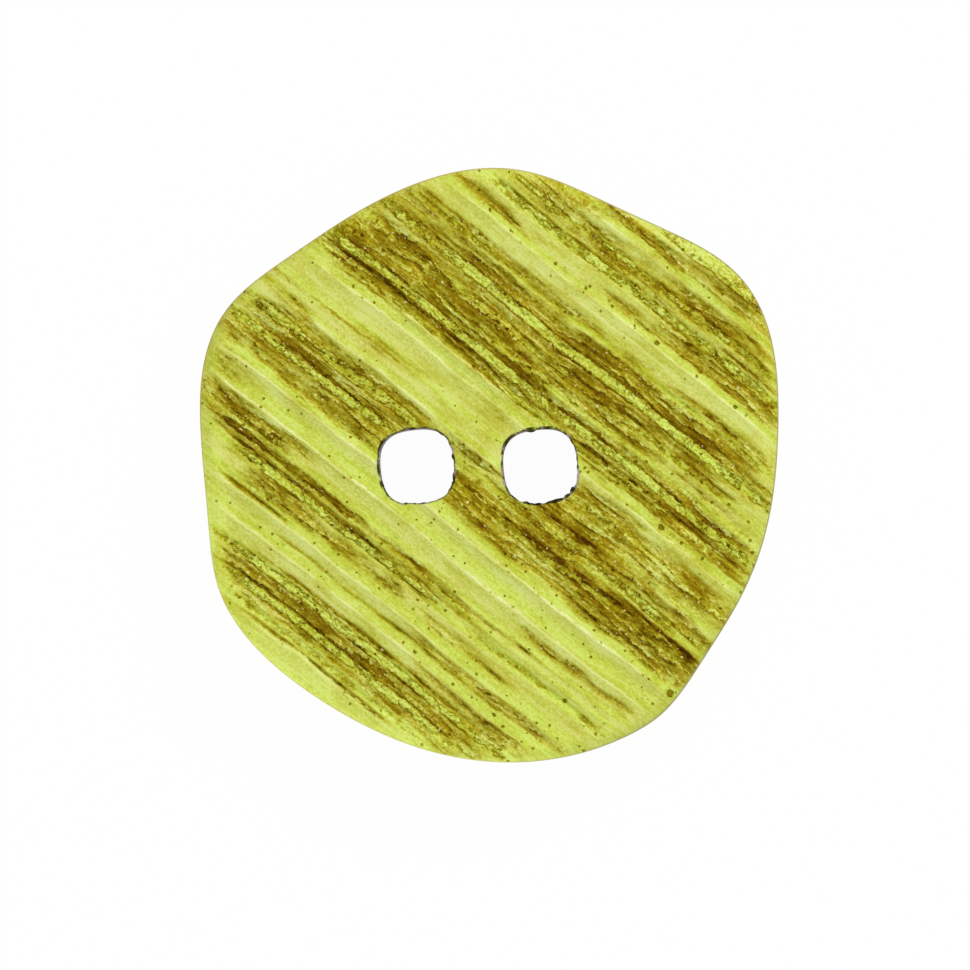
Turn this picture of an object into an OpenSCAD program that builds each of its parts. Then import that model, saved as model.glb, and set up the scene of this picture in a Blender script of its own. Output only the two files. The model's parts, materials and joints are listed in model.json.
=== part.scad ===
// Two-hole sew-through button: one moulded resin pebble with a combed, wood-like face.
// The back lies on z = 0 and the face looks up. The origin is midway between the thread holes.

/* [Outline] */
// Distance from the middle of the outline to the waists between its corners
waist_radius = 9.83; // [8:0.01:16]
// How far the middle of the outline lies from the middle of the hole pair, along the pair
outline_shift_x = 0.42; // [-1:0.01:1]
// How far the middle of the outline lies from the middle of the hole pair, across the pair
outline_shift_y = 0.06; // [-1:0.01:1]
// Bulge of the boldest of the soft corners, 0 gives a round button
corner_bulge = 1.04; // [0:0.02:1.6]

/* [Section] */
// Thickness from the back to the lands of the face
thickness = 3; // [2:0.1:6]
// Radius of the rounded edge round the face
face_round = 0.8; // [0.2:0.05:1]
// Radius of the rounded edge round the back
back_round = 0.5; // [0.2:0.05:0.8]

/* [Thread holes] */
// Diameter of each thread hole
hole_diameter = 2.66; // [1.2:0.02:3.2]
// Distance between the centres of the two thread holes
hole_spacing = 4.28; // [3.6:0.02:8]

/* [Combed grain] */
// Direction of the grain across the face, turned from the line of the holes
grain_angle = -38.5; // [-90:0.5:90]
// Depth of the deepest furrows
furrow_depth = 0.22; // [0.04:0.01:0.5]
// Width of one tooth of the comb, the step that lands and furrows are counted in
tooth_width = 0.05; // [0.03:0.005:0.1]
// Where the first stroke of the comb starts, measured across the grain from the hole pair
comb_start = 10; // [5:0.05:20]

/* [Hidden] */

// Steps round the outline, and steps through each rounded edge
rim_steps = 144;
round_steps = 6;
// Overrun of a cutter past the face that it opens
overrun = 1;
// Facets of the furrows and thread holes
$fn = 48;

// Soft corners of the outline: angle, share of the full bulge, angular spread before it and after it
corners = [
    [34, 1.00, 22, 18],
    [88, 0.45, 16, 22],
    [153, 0.81, 16, 20],
    [208, 0.55, 14, 22],
    [301, 0.70, 49, 14]
];

// One stroke of the uneven comb: teeth of land before each furrow, teeth of furrow, share of the full depth
comb = [
    [0, 10, 0.70],
    [5, 10, 0.90],
    [7, 4, 0.40],
    [8, 12, 0.80],
    [3, 12, 0.30],
    [2, 20, 1.00],
    [10, 6, 0.60],
    [6, 16, 1.00],
    [8, 6, 0.65],
    [4, 18, 0.35],
    [4, 12, 0.35],
    [4, 10, 0.70],
    [14, 6, 0.65],
    [4, 16, 0.80],
    [5, 16, 0.45],
    [3, 16, 0.70],
    [3, 4, 0.40],
    [11, 14, 0.80],
    [11, 6, 0.55],
    [4, 10, 0.35],
    [2, 4, 0.40],
    [4, 10, 0.90],
    [3, 4, 0.40],
    [8, 8, 0.55]
];
// Teeth of land between one stroke of the comb and the next
stroke_gap = 9;

outline_centre = [outline_shift_x, outline_shift_y];
// Distance from the middle of the hole pair that no point of the outline passes
reach = waist_radius + corner_bulge * total([for (corner = corners) corner[1]]) + norm(outline_centre);
stroke_width = tooth_width * (total([for (row = comb) row[0] + row[1]]) + stroke_gap);
strokes_before = ceil((reach - comb_start) / stroke_width);
strokes_after = ceil((reach + comb_start) / stroke_width);

function total(values, from = 0) = from < len(values) ? values[from] + total(values, from + 1) : 0;

// Bulge that one soft corner adds to the outline at an angle
function bulge(turn, corner) =
    let (away = (turn - corner[0] + 540) % 360 - 180)
    let (spread = away < 0 ? corner[2] : corner[3])
    corner_bulge * corner[1] * exp(-pow(away / spread, 2));

function rim_radius(turn) = waist_radius + total([for (corner = corners) bulge(turn, corner)]);
function rim_point(turn) = outline_centre + rim_radius(turn) * [cos(turn), sin(turn)];

// Unit direction square to the outline, into the button
function inward(turn) =
    let (along = rim_point(turn + 1) - rim_point(turn - 1))
    [-along[1], along[0]] / norm(along);

// One closed ring of the blank, set in from the outline at a height
function ring(inset, height) = [
    for (step = [0 : rim_steps - 1])
        let (turn = 360 * step / rim_steps)
        concat(rim_point(turn) + inset * inward(turn), height)
];

// Inset and height of every ring, from the back, up the side, to the face
section = concat(
    [for (step = [0 : round_steps])
        let (lift = 90 * step / round_steps)
        back_round * [1 - sin(lift), 1 - cos(lift)]],
    [for (step = [0 : round_steps])
        let (lift = 90 * step / round_steps)
        [face_round * (1 - cos(lift)), thickness - face_round * (1 - sin(lift))]]
);

// Pebble with its rounded edges, before the face is combed
module blank() {
    rings = len(section);
    back_centre = rings * rim_steps;
    face_centre = back_centre + 1;
    points = concat(
        [for (level = section) each ring(level[0], level[1])],
        [concat(outline_centre, 0), concat(outline_centre, thickness)]
    );
    sides = [
        for (level = [0 : rings - 2], step = [0 : rim_steps - 1])
            let (next = (step + 1) % rim_steps)
            let (low = level * rim_steps, high = low + rim_steps)
            each [[low + step, high + step, high + next], [low + step, high + next, low + next]]
    ];
    top = (rings - 1) * rim_steps;
    back = [for (step = [0 : rim_steps - 1]) [back_centre, step, (step + 1) % rim_steps]];
    face = [for (step = [0 : rim_steps - 1]) [face_centre, top + (step + 1) % rim_steps, top + step]];
    polyhedron(points, concat(sides, back, face));
}

// Round-nosed cutter for one furrow of the grain, which is never cut past a half circle
module furrow(place, width, depth) {
    cut = min(depth, width / 2);
    nose = (width * width / 4 + cut * cut) / (2 * cut);
    rotate([0, 0, grain_angle])
        translate([0, place, thickness - cut + nose])
            rotate([0, 90, 0])
                cylinder(r = nose, h = 2 * (reach + overrun), center = true);
}

// Every furrow that the comb leaves across the face, stroke after stroke
module combing() {
    for (stroke = [-strokes_before : strokes_after - 1], index = [0 : len(comb) - 1]) {
        width = tooth_width * comb[index][1];
        far_side = tooth_width * total([for (row = [0 : index]) comb[row][0] + comb[row][1]]);
        place = comb_start - stroke * stroke_width - far_side + width / 2;
        if (abs(place) < reach)
            furrow(place, width, furrow_depth * comb[index][2]);
    }
}

module thread_holes() {
    for (side = [-1, 1])
        translate([side * hole_spacing / 2, 0, -overrun])
            cylinder(d = hole_diameter, h = thickness + 2 * overrun);
}

module button() {
    color("yellowgreen")
        difference() {
            blank();
            combing();
            thread_holes();
        }
}

button();
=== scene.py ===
import json
import math
from types import SimpleNamespace

import bpy
import numpy as np
from mathutils import Matrix, Vector
from mathutils.geometry import delaunay_2d_cdt


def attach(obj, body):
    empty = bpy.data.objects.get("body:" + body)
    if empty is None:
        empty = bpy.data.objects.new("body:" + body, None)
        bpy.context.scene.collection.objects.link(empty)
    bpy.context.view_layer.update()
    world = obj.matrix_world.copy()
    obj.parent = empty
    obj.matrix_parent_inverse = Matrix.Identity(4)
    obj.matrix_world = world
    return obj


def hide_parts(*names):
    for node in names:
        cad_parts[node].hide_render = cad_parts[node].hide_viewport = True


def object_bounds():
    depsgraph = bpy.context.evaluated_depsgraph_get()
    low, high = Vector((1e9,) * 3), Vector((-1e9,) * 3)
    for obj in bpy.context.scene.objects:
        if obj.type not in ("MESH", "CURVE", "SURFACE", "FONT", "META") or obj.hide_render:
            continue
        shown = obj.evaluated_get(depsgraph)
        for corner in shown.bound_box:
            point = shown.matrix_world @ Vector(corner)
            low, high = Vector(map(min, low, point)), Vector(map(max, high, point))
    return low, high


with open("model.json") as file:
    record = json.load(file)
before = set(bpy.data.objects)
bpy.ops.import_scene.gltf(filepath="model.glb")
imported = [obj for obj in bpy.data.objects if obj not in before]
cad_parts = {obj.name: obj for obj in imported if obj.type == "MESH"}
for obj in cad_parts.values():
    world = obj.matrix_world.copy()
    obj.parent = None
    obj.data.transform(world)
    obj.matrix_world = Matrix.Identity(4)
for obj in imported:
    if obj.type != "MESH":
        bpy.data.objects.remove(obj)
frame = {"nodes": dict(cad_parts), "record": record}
cad_low, cad_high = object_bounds()

# Sizes in millimetres, as in the CAD part. The frame itself is in metres.
MM = 0.001
THICKNESS = cad_high.z / MM
FACE_ROUND = 0.8
BACK_ROUND = 0.5
GRAIN_ANGLE = math.radians(-38.5)
# How far the outline stays inside that of the CAD part
RIM_CLEARANCE = 0.01

# Mesh: points, smoothing and steps of the edge, points of the holes, steps of the nets over the face and
# the back, how far the nets stay clear of their borders, and how near two points are one
RIM_POINTS = 720
SMOOTHING_PASSES = 18
FACE_STEPS = 16
SIDE_STEPS = 8
BACK_STEPS = 6
HOLE_POINTS = 128
STEP_ALONG = 0.09
STEP_ACROSS = 0.05
BACK_STEP = 0.6
NET_MARGIN = 0.04
MERGE_DISTANCE = 1e-6

# Thread holes: softly squared, with a worn mouth
HOLE_CORNERS = 4
HOLE_SQUARENESS = 0.045
HOLE_WEAR = 0.02
MOUTH_ROUND = 0.05
MOUTH_STEPS = 4
WALL_STEPS = 12
# Depth of the small chips of the mouth, and how fast all chips die away below it
CHIP_DEPTH = 0.03
CHIP_FALL = 6

# Larger chips that hang into the holes: number of the hole, angle and half angle in degrees, reach into it
HOLE_CHIPS = [
    (0, 185, 10, 0.03),
    (0, 150, 12, 0.04),
    (0, 208, 6, 0.03),
    (0, 10, 8, 0.02),
    (0, -20, 8, 0.03),
    (1, 105, 8, 0.13),
    (1, 78, 7, 0.05),
    (1, 142, 13, 0.05),
    (1, -36, 5, 0.09),
    (1, -47, 5, 0.06),
    (1, -65, 10, 0.04),
    (1, -95, 8, 0.03),
]

# Slow waves that bend the grain: height, length along the grain, turns for each millimetre across, start
GRAIN_WAVES = [
    (0.040, 11.0, 0.05, 0.10),
    (0.022, 5.3, 0.17, 0.45),
    (0.012, 2.3, 0.31, 0.80),
]

# Scallops that the comb cut: place of the foot across the grain, place of the crest after it, depth
SCALLOPS = [
    (10.35, 10.20, 0.06),
    (9.68, 9.38, 0.10),
    (8.87, 8.58, 0.12),
    (8.28, 7.90, 0.10),
    (7.30, 7.02, 0.12),
    (6.20, 5.95, 0.08),
    (5.32, 4.95, 0.18),
    (4.55, 4.25, 0.12),
    (3.90, 3.62, 0.10),
    (3.38, 3.05, 0.12),
    (2.80, 2.53, 0.16),
    (2.42, 2.04, 0.08),
    (1.35, 1.08, 0.06),
    (0.62, 0.40, 0.05),
    (-0.05, -0.50, 0.12),
    (-0.78, -1.15, 0.14),
    (-1.70, -2.18, 0.12),
    (-2.52, -3.08, 0.10),
    (-3.72, -3.95, 0.08),
    (-4.12, -4.27, 0.06),
    (-4.42, -4.80, 0.10),
    (-5.30, -5.77, 0.10),
    (-6.15, -6.60, 0.09),
    (-7.10, -7.45, 0.10),
    (-7.95, -8.25, 0.16),
    (-8.50, -8.80, 0.06),
    (-8.97, -9.06, 0.06),
]
# Place of the crest before the first foot
FIRST_CREST = 10.80

# Brown stain: place across the grain, half width, where it starts and ends along the grain, strength
STAINS = [
    (10.30, 0.50, 2.5, 6.5, 0.35),
    (9.20, 1.30, -5.2, 6.4, 0.10),
    (4.40, 1.90, -8.6, 8.4, 0.26),
    (1.00, 1.10, 3.0, 9.8, 0.34),
    (-0.40, 0.50, -9.8, 10.2, 0.25),
    (-1.30, 0.55, -9.6, 10.2, 0.28),
    (-4.60, 0.80, -8.0, 3.0, 0.18),
    (-7.80, 0.75, -5.0, 6.4, 0.22),
    (9.85, 0.13, -1.6, 1.6, 0.90),
    (9.95, 0.18, 1.0, 4.0, 0.35),
    (9.40, 0.30, -4.0, -2.0, 0.25),
    (9.10, 0.24, 1.5, 5.6, 0.40),
    (8.98, 0.15, -4.2, -0.3, 0.60),
    (8.68, 0.12, -4.8, 6.0, 0.20),
    (8.42, 0.13, -5.5, 3.0, 0.35),
    (8.40, 0.08, 4.2, 6.6, 0.40),
    (7.62, 0.30, 2.3, 7.1, 0.85),
    (7.45, 0.15, -6.5, -3.6, 0.60),
    (7.40, 0.20, 0.2, 1.5, 0.75),
    (6.30, 0.08, -7.0, -5.0, 0.30),
    (6.15, 0.18, -4.6, -3.0, 0.80),
    (6.25, 0.10, -1.8, 0.4, 0.25),
    (6.32, 0.12, 3.8, 7.8, 0.70),
    (6.05, 0.12, -7.0, 0.0, 0.15),
    (5.60, 0.26, -5.4, -0.5, 0.60),
    (5.50, 0.20, -2.8, -0.8, 0.60),
    (5.75, 0.15, 2.0, 4.2, 0.80),
    (5.55, 0.28, -0.5, 6.5, 0.85),
    (5.50, 0.10, 6.5, 8.4, 0.30),
    (4.72, 0.14, -7.0, -2.5, 0.50),
    (4.72, 0.16, -2.5, 6.0, 0.65),
    (4.35, 0.30, -8.6, -5.8, 0.60),
    (4.35, 0.12, -5.8, -4.0, 0.40),
    (4.40, 0.30, -4.4, -2.2, 0.50),
    (4.30, 0.14, 0.0, 3.2, 0.50),
    (3.95, 0.28, -8.6, -5.0, 0.85),
    (3.95, 0.22, -5.0, -2.4, 0.80),
    (3.90, 0.16, -2.4, 0.4, 0.20),
    (3.90, 0.18, 0.4, 3.0, 0.80),
    (3.75, 0.25, -7.5, -5.5, 0.60),
    (3.60, 0.34, -5.0, -3.2, 0.90),
    (3.95, 0.12, 3.0, 4.4, 0.50),
    (3.95, 0.10, 6.8, 8.8, 0.20),
    (3.45, 0.10, -8.6, -5.8, 0.85),
    (3.40, 0.20, -4.8, -2.6, 0.85),
    (3.48, 0.10, -2.6, 9.2, 0.55),
    (3.40, 0.12, -5.4, -2.6, 0.80),
    (3.05, 0.20, -5.0, -3.2, 0.60),
    (2.75, 0.18, -9.0, -7.6, 0.75),
    (2.85, 0.14, -8.9, 0.4, 0.90),
    (2.88, 0.12, 2.3, 9.6, 0.85),
    (2.62, 0.10, -8.7, -5.6, 0.55),
    (2.58, 0.10, 2.6, 9.6, 0.50),
    (1.50, 0.20, 3.2, 5.6, 0.30),
    (1.50, 0.15, 7.4, 9.7, 0.50),
    (1.00, 0.30, 8.8, 10.0, 0.50),
    (1.10, 0.25, 3.2, 5.6, 0.45),
    (0.80, 0.34, 3.1, 5.2, 0.95),
    (0.75, 0.25, 3.0, 4.4, 0.80),
    (0.40, 0.50, 2.6, 4.4, 0.50),
    (1.15, 0.12, -5.8, -4.2, 0.20),
    (0.85, 0.10, -5.7, -4.9, 0.25),
    (0.97, 0.06, -9.6, -8.6, 0.75),
    (1.50, 0.60, -4.0, 0.4, 0.10),
    (0.12, 0.14, -8.6, -2.2, 0.45),
    (0.10, 0.14, -1.0, 0.2, 0.60),
    (0.20, 0.16, 2.4, 5.6, 0.85),
    (0.45, 0.20, -9.4, -7.6, 0.40),
    (0.45, 0.40, 2.6, 4.8, 0.75),
    (0.15, 0.12, 5.6, 9.8, 0.35),
    (-0.28, 0.18, -9.7, -4.0, 0.40),
    (-0.40, 0.35, 0.2, 2.6, 0.40),
    (-0.25, 0.16, 2.8, 5.2, 0.60),
    (-0.70, 0.12, 4.0, 6.2, 0.60),
    (-0.62, 0.10, -9.6, -3.0, 0.40),
    (-0.62, 0.10, -0.3, 10.2, 0.60),
    (-0.85, 0.08, -9.6, -3.0, 0.70),
    (-0.80, 0.10, -0.3, 10.3, 1.00),
    (-0.90, 0.30, 0.0, 5.6, 0.80),
    (-1.00, 0.14, -0.2, 10.2, 0.75),
    (-1.45, 0.26, -9.6, -3.2, 0.42),
    (-1.15, 0.30, 6.8, 9.8, 0.70),
    (-1.40, 0.30, -0.2, 10.0, 0.58),
    (-1.78, 0.14, -9.5, -3.0, 0.40),
    (-1.75, 0.16, 5.0, 9.6, 0.45),
    (-2.50, 0.50, -10.0, -8.2, 0.25),
    (-3.50, 0.26, -9.3, -5.1, 0.75),
    (-3.60, 0.30, 8.0, 9.8, 0.30),
    (-3.50, 0.14, 4.9, 9.9, 0.50),
    (-3.90, 0.30, -9.0, -8.0, 0.60),
    (-4.08, 0.12, -8.2, -2.0, 0.85),
    (-4.05, 0.10, -1.2, 3.2, 0.20),
    (-4.00, 0.07, 3.2, 5.6, 0.40),
    (-4.42, 0.08, -7.4, -4.6, 0.65),
    (-4.50, 0.08, -4.6, -0.9, 0.70),
    (-4.40, 0.07, -0.9, 3.0, 0.20),
    (-5.15, 0.26, -5.9, -3.0, 0.75),
    (-5.20, 0.20, -3.0, 4.0, 0.25),
    (-5.28, 0.10, 4.4, 5.2, 0.35),
    (-5.65, 0.08, -7.2, -4.2, 0.35),
    (-5.95, 0.14, 2.4, 8.2, 0.50),
    (-6.18, 0.05, -4.0, 8.0, 0.30),
    (-6.75, 0.12, 3.0, 7.3, 0.40),
    (-6.95, 0.25, 5.6, 7.4, 0.70),
    (-7.08, 0.08, -3.6, 7.1, 0.50),
    (-7.75, 0.20, -4.4, 0.2, 0.90),
    (-7.75, 0.20, 0.2, 6.2, 0.55),
    (-8.40, 0.10, -4.2, 0.8, 0.20),
    (-8.40, 0.10, 0.8, 5.1, 0.70),
    (-8.93, 0.06, -3.2, 3.2, 0.40),
]

# Dark lines at the feet of the steps, stain gathered there and painted shade of the step above: place across
# the grain, start and end along it, strength. Past a strength of 1 a line grows wider too.
DARK_LINES = [
    (9.68, -1.3, 0.8, 1.0),
    (9.68, 0.8, 4.0, 0.6),
    (8.87, 1.0, 5.9, 0.9),
    (8.27, -5.6, 1.0, 0.5),
    (8.37, 4.4, 6.4, 0.9),
    (7.95, 1.0, 4.6, 0.8),
    (7.28, -6.0, -3.6, 0.6),
    (7.35, 2.0, 7.0, 0.7),
    (6.33, -7.0, -5.0, 0.6),
    (6.18, -4.4, -3.3, 1.0),
    (6.20, -1.6, 0.3, 0.5),
    (5.32, -7.6, 7.0, 0.9),
    (5.48, 7.4, 8.3, 0.9),
    (4.92, -6.0, 6.0, 0.6),
    (4.55, -3.9, 6.6, 0.9),
    (4.55, -7.0, -5.0, 0.7),
    (4.10, -7.0, -5.6, 0.8),
    (3.95, -1.6, 0.4, 0.5),
    (3.37, -8.6, -5.8, 1.0),
    (3.38, -4.7, 7.0, 0.8),
    (2.97, -9.0, -2.6, 1.4),
    (2.97, -2.6, 0.0, 1.0),
    (2.95, 0.2, 1.3, 0.9),
    (2.86, 2.4, 9.6, 1.0),
    (2.42, -8.0, -5.8, 0.7),
    (2.45, 2.4, 9.7, 0.8),
    (1.05, -8.0, -4.2, 0.6),
    (0.28, -0.2, 1.0, 0.9),
    (0.28, 2.5, 5.0, 1.5),
    (-0.80, -9.6, -3.0, 0.8),
    (-0.74, -0.3, 2.0, 1.2),
    (-0.78, 2.0, 7.2, 2.2),
    (-0.60, 7.2, 10.3, 1.6),
    (-1.20, -9.6, -3.6, 0.6),
    (-1.60, 4.0, 8.5, 0.6),
    (-3.42, -9.2, -6.0, 0.7),
    (-4.15, -8.1, -2.0, 1.0),
    (-4.10, -1.0, 3.1, 0.5),
    (-4.40, -7.4, -4.8, 1.0),
    (-4.50, -3.0, -0.8, 0.8),
    (-4.40, -0.8, 3.0, 0.4),
    (-4.80, -5.4, -3.7, 0.9),
    (-4.76, 0.0, 1.7, 0.5),
    (-5.60, -7.0, -4.0, 0.5),
    (-6.12, 2.0, 7.8, 0.5),
    (-6.20, -4.0, 1.5, 0.3),
    (-6.68, 3.0, 7.3, 0.4),
    (-7.08, -3.6, 5.0, 0.7),
    (-7.10, 5.0, 6.4, 1.0),
    (-7.50, -4.2, -1.6, 1.0),
    (-7.50, 0.2, 1.4, 0.7),
    (-7.50, 1.8, 3.8, 0.9),
    (-7.45, 4.6, 5.7, 0.9),
    (-7.95, -4.4, 5.0, 0.8),
    (-8.27, -4.1, 0.3, 0.5),
    (-8.90, -3.0, 3.0, 0.4),
]

# Torn, crumbled stripes: place across the grain, half width, start and end along the grain, strength
CRUMBLED = [
    (10.50, 0.28, 0.3, 4.6, 0.9),
    (8.72, 0.12, -4.9, 6.0, 0.6),
    (8.08, 0.16, -5.5, 6.6, 0.6),
    (6.03, 0.10, -7.0, -3.0, 0.4),
    (6.03, 0.10, 3.0, 7.8, 0.4),
    (5.12, 0.17, -7.8, 8.8, 1.0),
    (4.40, 0.12, -8.0, 7.0, 0.4),
    (3.20, 0.15, -8.8, 9.6, 1.0),
    (2.62, 0.08, -8.6, 9.6, 0.4),
    (-0.25, 0.18, -9.8, -2.6, 0.7),
    (-0.25, 0.18, 2.8, 9.0, 0.5),
    (-1.00, 0.14, -9.9, -3.2, 1.0),
    (-1.05, 0.10, -0.2, 10.2, 0.3),
    (-4.62, 0.14, -6.5, -0.3, 1.0),
    (-4.62, 0.12, -0.3, 1.7, 0.5),
    (-4.60, 0.12, 3.0, 9.4, 0.25),
    (-7.35, 0.13, -5.2, 6.6, 1.0),
    (-8.10, 0.14, -4.6, 5.2, 1.0),
    (-8.68, 0.12, -4.2, 4.6, 0.3),
]

# Painted highlights along the crests, as pale lines: place across the grain, start and end along it,
# strength
CREST_HIGHLIGHTS = [
    (10.20, -0.1, 3.4, 0.8),
    (9.85, 1.8, 3.8, 0.7),
    (9.38, -3.0, 2.0, 0.6),
    (7.02, -6.5, 7.0, 0.6),
    (6.65, -6.4, 4.0, 0.3),
    (4.87, -2.5, 4.0, 0.7),
    (3.60, -8.4, -5.4, 0.4),
    (2.53, -5.4, -0.7, 0.9),
    (2.04, -9.0, 9.4, 0.7),
    (0.38, -9.4, -2.4, 0.7),
    (0.38, -1.2, 0.2, 0.8),
    (0.38, 5.5, 9.8, 0.8),
    (-0.55, -9.0, -3.0, 0.6),
    (-2.18, -9.2, 9.8, 0.8),
    (-3.10, -9.0, -1.0, 0.9),
    (-3.10, -1.0, 9.6, 0.7),
    (-5.77, -6.8, 3.0, 0.7),
    (-6.60, -6.0, 7.0, 0.6),
    (-9.04, -3.1, 3.2, 0.7),
]

# Single larger pits: place along the grain, place across it, radius
PITS = [
    (-5.2, 7.15, 0.08),
    (-4.2, 7.10, 0.07),
    (-0.9, 7.15, 0.08),
    (0.2, 7.20, 0.07),
    (1.2, 7.15, 0.07),
    (2.2, 7.15, 0.11),
    (5.7, 7.10, 0.09),
    (6.2, 7.15, 0.07),
    (6.3, 2.25, 0.15),
    (9.3, 3.55, 0.10),
    (-8.4, 3.65, 0.09),
    (-8.0, 4.40, 0.08),
    (4.8, -6.35, 0.09),
    (5.8, -6.35, 0.08),
    (2.3, -6.45, 0.08),
    (7.4, -4.50, 0.10),
    (10.1, -2.05, 0.17),
]

# Share of red, green and blue light that a full layer of the brown stain lets through
STAIN_PASSES = (0.24, 0.13, 0.002)

# Broad strokes: blur of their sides, what each millimetre of half width adds to it, and fade of their ends
STAIN_BLUR = 0.08
STAIN_SPREAD = 0.5
STAIN_TAPER = 1.8

# Thin lines: how far to each side their strength holds, the fade after that, and the fade of their ends
LINE_REACH = 0.12
LINE_FADE = 0.03
LINE_TAPER = 0.8

# Thin lines as drawn: half width and waver of the dark ones and of the painted crest highlights, and the
# greatest strength
DARK_LINE = (0.07, 0.20)
CREST_HIGHLIGHT_LINE = (0.055, 0.14)
LINE_STRONGEST = 1.6

# A place along the grain that lies past every edge of the face
FAR = 99

# Widths of the painted shade round each hole mouth, of the painted light on the rim and of the painted shade
# on the lee side below a crest
MOUTH_SHADE_WIDTH = 0.14
RIM_LIGHT_WIDTH = 0.9
LEE_WIDTH = 0.55
# Share of its width over which the lee side comes in
LEE_START = 0.2

# Where the face ends on its rounded edge, and over what height it fades, as shares of the round
FACE_END = 0.95
FACE_FADE = 0.3

# Depths below the face at which the painted shade of the hole mouths ends, and above which it is full
MOUTH_SHADE_END = 0.60
MOUTH_SHADE_FULL = 0.35

# Torn fibres: their width, how far they bend, and the noise of their two tones: grains for each millimetre
# along, grains from fibre to fibre, and where each tone starts
FIBRE_WIDTH = 0.32
FIBRE_BEND = 3.0
TONE_ALONG = 0.40
TONE_ACROSS = 3.7
TONE_STARTS = (0.0, 50.0)

# Noise on the face: grains for each millimetre along and across the grain, detail, roughness
SWAY = (0.3, 0.9, 1.0, 0.5)
BENDS = (0.3, 0.9, 2.0, 0.5)
JAGS = (3.6, 4.2, 3.0, 0.65)
BEADS = (2.6, 3.6, 5.0, 0.72)
RUNS = (0.5, 1.1, 2.0, 0.5)
BREAKS = (1.6, 3.0, 3.0, 0.6)
PATCHES = (0.35, 1.3, 2.0, 0.5)
SMEARS = (1.2, 4.5, 3.0, 0.6)
MOTTLE = (0.9, 1.8, 3.0, 0.6)
STREAKS = (0.25, 5.5, 3.0, 0.6)
CRUMBS = (2.4, 6.5, 1.0, 0.5)
GRIT = (2.4, 6.5, 3.0, 0.6)
DUST = (8.0, 13.0, 2.0, 0.6)
RAGS = (9.0, 9.0, 1.0, 0.5)
GLINTS = (7.0, 8.0, 0.0, 0.5)

# Noise in the solid resin: grains for each metre
CLOUD_GRAINS = 600.0
HOLE_PATCH_GRAINS = 2200.0

# Scattered pits: their spacing, and the share of the places that has one
SUNK_PITS = (0.6, 0.5)
ROW_PITS = (0.45, 0.30)
DOTS = (0.42, 0.16)
# Least and greatest radius, raggedness and softness of a scattered pit, as shares of the spacing
SPECK_SIZES = (0.06, 0.15)
SPECK_RAGS = 0.22
SPECK_SOFTNESS = 0.05

# Inputs of the comb: share of the scallops' full depth, and depths in millimetres
COMB_DEPTHS = {
    "Scallop share": 0.80,
    "Tear depth": 0.06,
    "Valley depth": 0.06,
    "Grit depth": 0.05,
    "Pit depth": 0.06,
}

# Camera: the point of the face it looks at, width of the picture there, distance, and how far it leans
AIM_X = 0.242
AIM_Y = -0.668
PICTURE_WIDTH = 33.56
CAMERA_DISTANCE = 450
CAMERA_LEAN = math.radians(1.2)

# Lamps: direction in plan, lift above the floor in radians, size in metres, watts
LAMPS = {
    "key_lamp": ((0.61, 0.79), 0.75, 0.20, 0.60),
    "fill_lamp": ((-0.61, -0.79), 0.15, 0.20, 0.30),
}
LAMP_DISTANCE = 350
# Strength of the even light of the room, where 1 is white
ROOM_LIGHT = 0.68

# Paper under the button: half of its width, how far it lies below the back, and how plain a white it shows
PAPER_HALF_WIDTH = 600
PAPER_DROP = 0.05
PAPER_WHITE = 0.97


def paint(red, green, blue):
    """A colour as a screen shows it, from 0 to 255, as the linear colour that a shader takes."""
    shares = [value / 255 for value in (red, green, blue)]
    linear = [s / 12.92 if s <= 0.04045 else ((s + 0.055) / 1.055) ** 2.4 for s in shares]
    return (*linear, 1.0)


# Bare resin of the face
DULL_LIME = paint(210, 211, 106)
# Brighter lime: painted light on the slopes that rise toward the lamp, and random mottle and streaks
FRESH_AND_LIT_LIME = paint(201, 219, 86)
# Painted shade below the crests
LEE_SHADE_LIME = paint(184, 197, 112)
# Painted light on the rim
RIM_LIGHT_LIME = paint(228, 244, 108)
GOLDEN_FIBRE = paint(218, 204, 60)
GREY_FIBRE = paint(196, 206, 116)
RIDGE_LIME = paint(204, 220, 94)
# Painted highlight on the worn fibre edges
WORN_HIGHLIGHT_LIME = paint(222, 228, 124)
# Painted highlight on the crests
CREST_HIGHLIGHT_CREAM = paint(242, 243, 172)
# Painted glints
GLINT_CREAM = paint(246, 230, 160)

# Rim, side and back
# Thin line on the rim: amber, and grey on the right as painted shade
RIM_AMBER = paint(186, 134, 30)
RIM_SHADE_GREY = paint(150, 138, 88)
SIDE_OLIVE = paint(190, 186, 72)
SIDE_LIME = paint(202, 211, 92)

# Thread holes
# Painted shade on the walls and mouths of the holes, with pale patches of painted highlight
WALL_SHADE_BROWN = paint(96, 78, 40)
WALL_SHADE_TAN = paint(140, 124, 82)
MOUTH_SHADE_BROWN = paint(48, 36, 18)
MOUTH_HIGHLIGHT_GREY = paint(166, 156, 136)
CHIP_BLACK = paint(22, 14, 6)


# The pebble


def polar(points, centre):
    """Angle and distance of points from a centre."""
    away = points - centre
    return np.arctan2(away[:, 1], away[:, 0]), np.hypot(away[:, 0], away[:, 1])


def within(points, loop, margin):
    """How far inside a loop each point lies, less a margin. The loop goes once round its own middle."""
    centre = (loop.min(0) + loop.max(0)) / 2
    loop_turns, loop_radii = polar(loop, centre)
    turns, radii = polar(points, centre)
    return np.interp(turns, loop_turns, loop_radii, period=2 * np.pi) - radii - margin


def raised(points, height):
    """Flat points, all at one height."""
    return np.column_stack([points, np.full(len(points), height)])


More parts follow.
